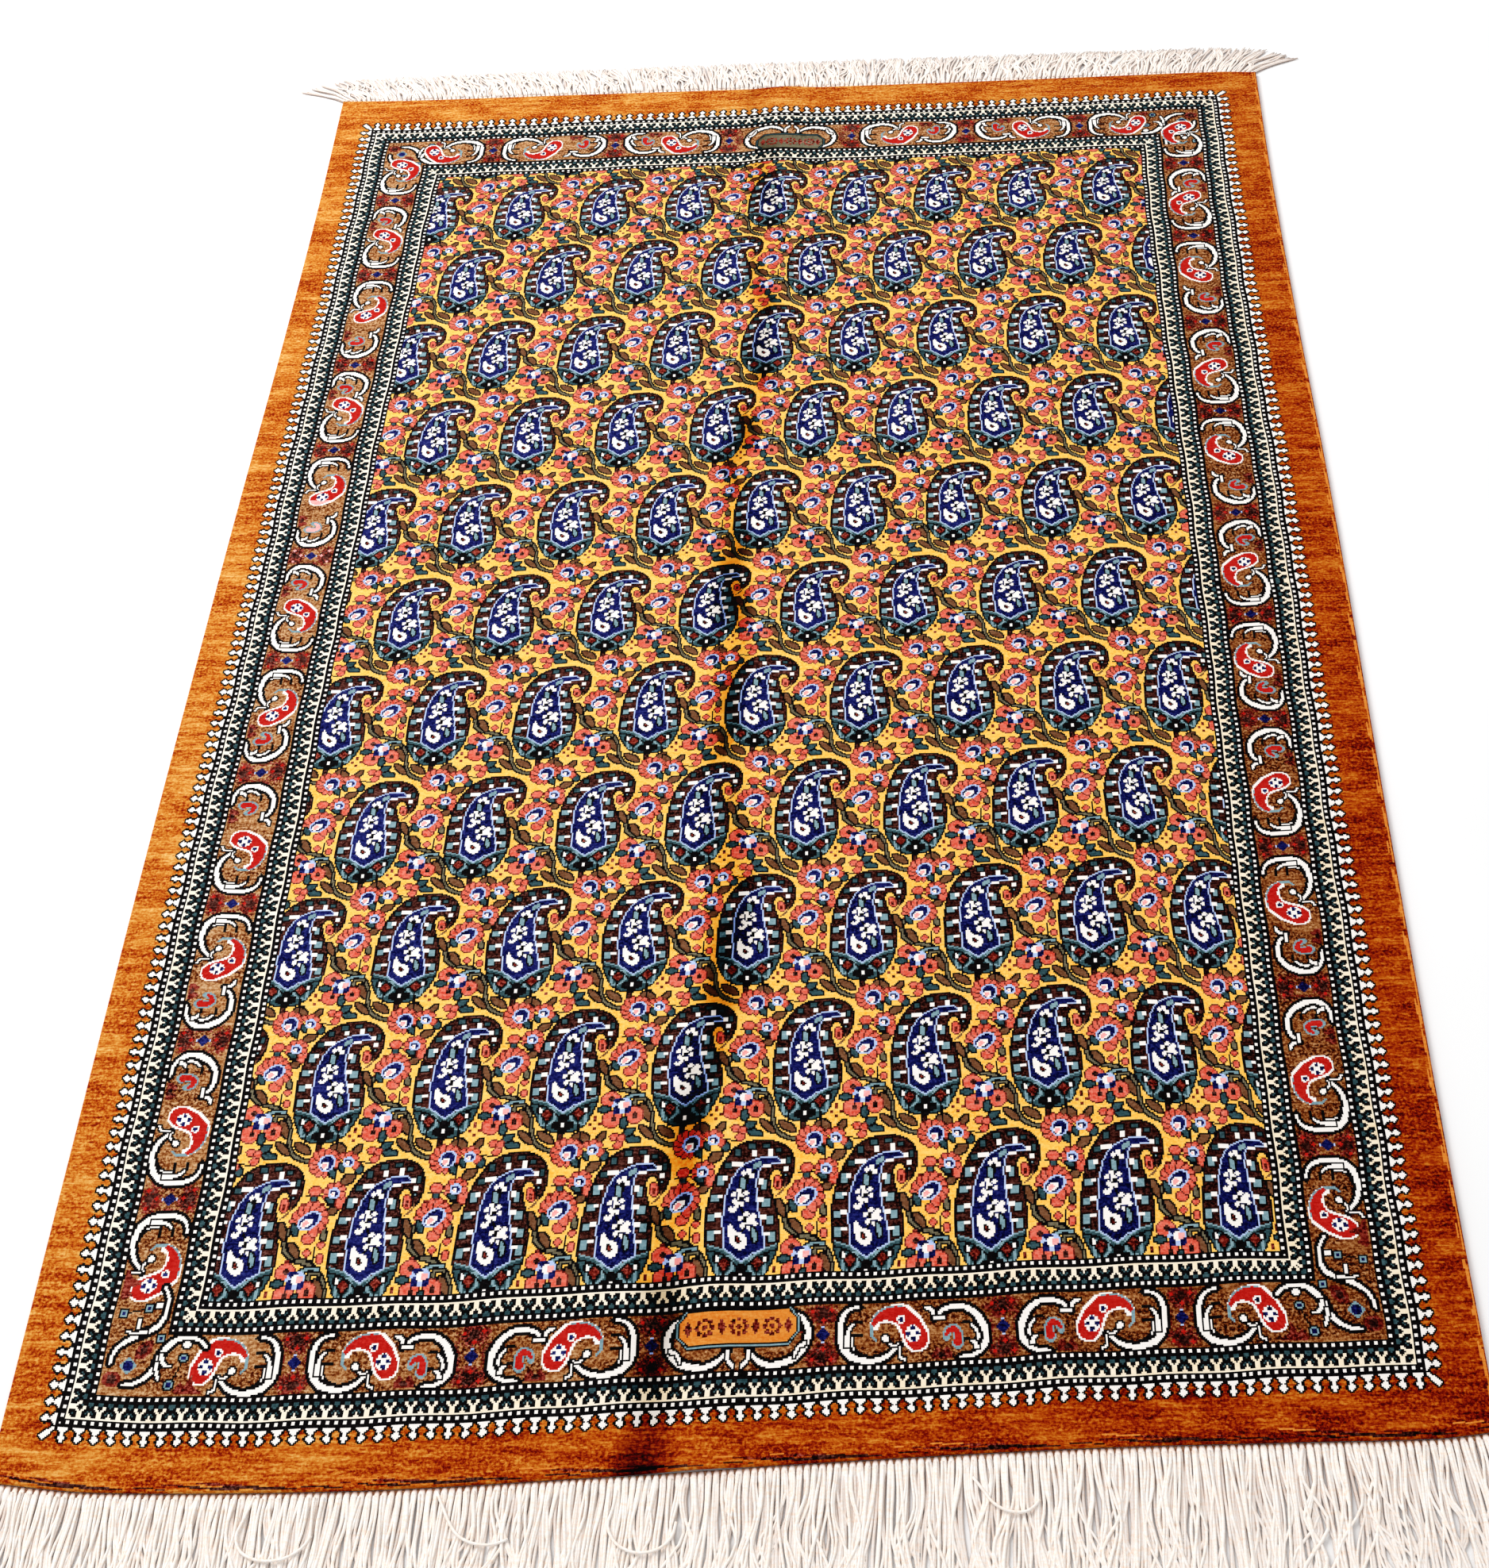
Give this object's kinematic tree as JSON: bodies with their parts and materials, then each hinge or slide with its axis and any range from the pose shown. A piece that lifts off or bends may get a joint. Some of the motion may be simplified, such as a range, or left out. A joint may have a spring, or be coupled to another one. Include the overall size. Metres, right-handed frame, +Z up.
{
  "type": "persian rug",
  "caption": "Hand-knotted silk Persian rug with a paisley field, a scroll border between dotted guards, a golden rust margin and ivory fringes at both ends, lying flat",
  "frame": {"origin": "on the floor below the middle of the whole rug with its fringes", "axes": "+X across the rug to the right, +Y along the rug from the long near fringe to the short far fringe, +Z up out of the pile"},
  "size_m": [1.0686, 1.6872, 0.0079],
  "materials": {
    "silk_pile": "short dense silk pile, knotted in gold, rust, navy, red, slate, white and black, with a soft sheen",
    "silk_fringe": "ivory silk warp ends, knotted at a narrow flat-woven heading"
  },
  "bodies": {
    "root": {"carpet": "silk_pile", "fringe_near": "silk_fringe", "fringe_far": "silk_fringe"}
  },
  "joints": []
}
